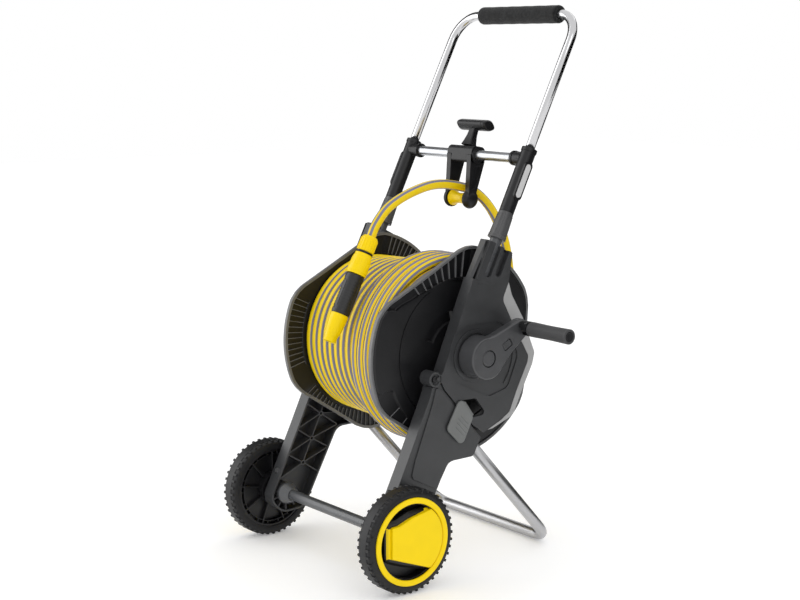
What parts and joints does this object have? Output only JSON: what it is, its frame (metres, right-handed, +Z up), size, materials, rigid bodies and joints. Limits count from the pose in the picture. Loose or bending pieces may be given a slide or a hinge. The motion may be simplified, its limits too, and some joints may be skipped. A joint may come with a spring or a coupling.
{
  "type": "garden hose reel cart",
  "caption": "Folding two-wheeled hose cart: crank-driven drum with wound hose and nozzle, telescopic handle, tube stand and hose guide.",
  "frame": {"origin": "centre of the footprint of everything but the free hose and its fittings, on the floor", "axes": "+X to the crank side along the drum's axis, +Y to the rear where the stand and the handle are, +Z up"},
  "size_m": [0.5342, 0.5072, 0.928],
  "materials": {
    "frame_plastic": "moulded, fine grain",
    "black_plastic": "moulded, ribbed",
    "grey_plastic": "moulded, satin",
    "light_grey_plastic": "moulded, satin",
    "yellow_plastic": "moulded, satin gloss",
    "collar_plastic": "moulded, ridged",
    "bearing_plastic": "moulded",
    "tyre_rubber": "treaded",
    "rubber": "soft touch, ribbed",
    "foam": "closed-cell foam",
    "tube_aluminium": "polished",
    "stand_steel": "silver paint",
    "axle_paint": "dark satin paint",
    "crossbar_aluminium": "brushed",
    "steel": "plated",
    "hose": "smooth PVC with grey stripes"
  },
  "bodies": {
    "undercarriage": {"axle_rod": "steel", "axle_tube": "axle_paint", "axle_collar_left": "frame_plastic", "axle_collar_right": "frame_plastic", "axle_clips": "steel", "leg_left": "frame_plastic", "leg_right": "frame_plastic", "leg_screws": "steel", "stand_tube": "stand_steel", "hinge_pins": "steel"},
    "wheel_left": {"wheel_left_rim": "black_plastic", "wheel_left_tyre": "tyre_rubber", "wheel_left_cover": "yellow_plastic"},
    "wheel_right": {"wheel_right_rim": "black_plastic", "wheel_right_tyre": "tyre_rubber", "wheel_right_cover": "yellow_plastic"},
    "upper_frame": {"side_panel_left": "frame_plastic", "side_panel_right": "frame_plastic", "trim_left": "light_grey_plastic", "trim_right": "light_grey_plastic", "lower_tube_left": "axle_paint", "lower_tube_right": "axle_paint", "tube_collar_left": "collar_plastic", "tube_collar_right": "collar_plastic", "sleeve_left": "frame_plastic", "sleeve_right": "frame_plastic", "crossbar": "crossbar_aluminium", "bush_left": "bearing_plastic", "bush_right": "bearing_plastic", "inlet_elbow": "frame_plastic"},
    "latch_left": {"latch_left": "grey_plastic"},
    "latch_right": {"latch_right": "grey_plastic"},
    "release_left": {"release_button_left": "light_grey_plastic"},
    "release_right": {"release_button_right": "light_grey_plastic"},
    "handle": {"handle_tube": "tube_aluminium", "foam_grip": "foam"},
    "guide_carriage": {"guide_bush": "frame_plastic", "hose_free": "hose", "hose_nut": "yellow_plastic", "hose_coupling": "yellow_plastic", "nozzle_barrel": "black_plastic", "nozzle_tip": "yellow_plastic"},
    "guide": {"guide_fork": "frame_plastic", "guide_handle": "frame_plastic", "roller_pin": "steel"},
    "guide_roller": {"guide_roller": "yellow_plastic"},
    "drum": {"drum_core": "black_plastic", "flange_left": "black_plastic", "flange_right": "black_plastic", "drum_shaft": "steel", "hose_winding": "hose", "crank_arm": "frame_plastic", "crank_cap": "frame_plastic"},
    "crank_button": {"crank_button": "black_plastic"},
    "grip_fold": {"grip_spindle": "black_plastic", "grip_pin": "steel"},
    "grip_sleeve": {"crank_grip": "rubber", "grip_cap": "black_plastic"}
  },
  "joints": [
    {"name": "wheel_left_spin", "type": "hinge", "parent": "undercarriage", "child": "wheel_left", "pos_m": [-0.2501, -0.16763, 0.086], "axis": [1, 0, 0], "continuous": true},
    {"name": "wheel_right_spin", "type": "hinge", "parent": "undercarriage", "child": "wheel_right", "pos_m": [0.1499, -0.16763, 0.086], "axis": [1, 0, 0], "continuous": true},
    {"name": "frame_fold", "type": "hinge", "parent": "undercarriage", "child": "upper_frame", "pos_m": [-0.0501, -0.08463, 0.329], "axis": [1, 0, 0], "range_deg": [0, 100]},
    {"name": "latch_left_slide", "type": "slide", "parent": "upper_frame", "child": "latch_left", "axis": [0, 1, 0], "range_m": [0, 0.012], "stiffness_N_per_m": 300},
    {"name": "latch_right_slide", "type": "slide", "parent": "upper_frame", "child": "latch_right", "axis": [0, 1, 0], "range_m": [0, 0.012], "stiffness_N_per_m": 300},
    {"name": "release_left_press", "type": "slide", "parent": "upper_frame", "child": "release_left", "axis": [1, 0, 0], "range_m": [0, 0.002], "stiffness_N_per_m": 500},
    {"name": "release_right_press", "type": "slide", "parent": "upper_frame", "child": "release_right", "axis": [-1, 0, 0], "range_m": [0, 0.002], "stiffness_N_per_m": 500},
    {"name": "handle_slide", "type": "slide", "parent": "upper_frame", "child": "handle", "axis": [0, -0.4446, -0.8957], "range_m": [0, 0.17]},
    {"name": "guide_slide", "type": "slide", "parent": "upper_frame", "child": "guide_carriage", "axis": [1, 0, 0], "range_m": [-0.04, 0.04]},
    {"name": "guide_swing", "type": "hinge", "parent": "guide_carriage", "child": "guide", "pos_m": [-0.0501, 0.11963, 0.67377], "axis": [1, 0, 0], "range_deg": [-4, 4]},
    {"name": "roller_spin", "type": "hinge", "parent": "guide", "child": "guide_roller", "pos_m": [-0.0501, 0.10837, 0.598], "axis": [1, 0, 0], "continuous": true},
    {"name": "drum_spin", "type": "hinge", "parent": "upper_frame", "child": "drum", "pos_m": [-0.0501, -0.00363, 0.359], "axis": [1, 0, 0], "continuous": true},
    {"name": "crank_button_press", "type": "slide", "parent": "drum", "child": "crank_button", "axis": [-1, 0, 0], "range_m": [0, 0.002], "stiffness_N_per_m": 500},
    {"name": "grip_fold_turn", "type": "hinge", "parent": "drum", "child": "grip_fold", "pos_m": [0.1699, 0.06923, 0.40278], "axis": [0, 0.515, -0.8572], "range_deg": [0, 90]},
    {"name": "grip_spin", "type": "hinge", "parent": "grip_fold", "child": "grip_sleeve", "pos_m": [0.2099, 0.06923, 0.40278], "axis": [1, 0, 0], "continuous": true}
  ]
}
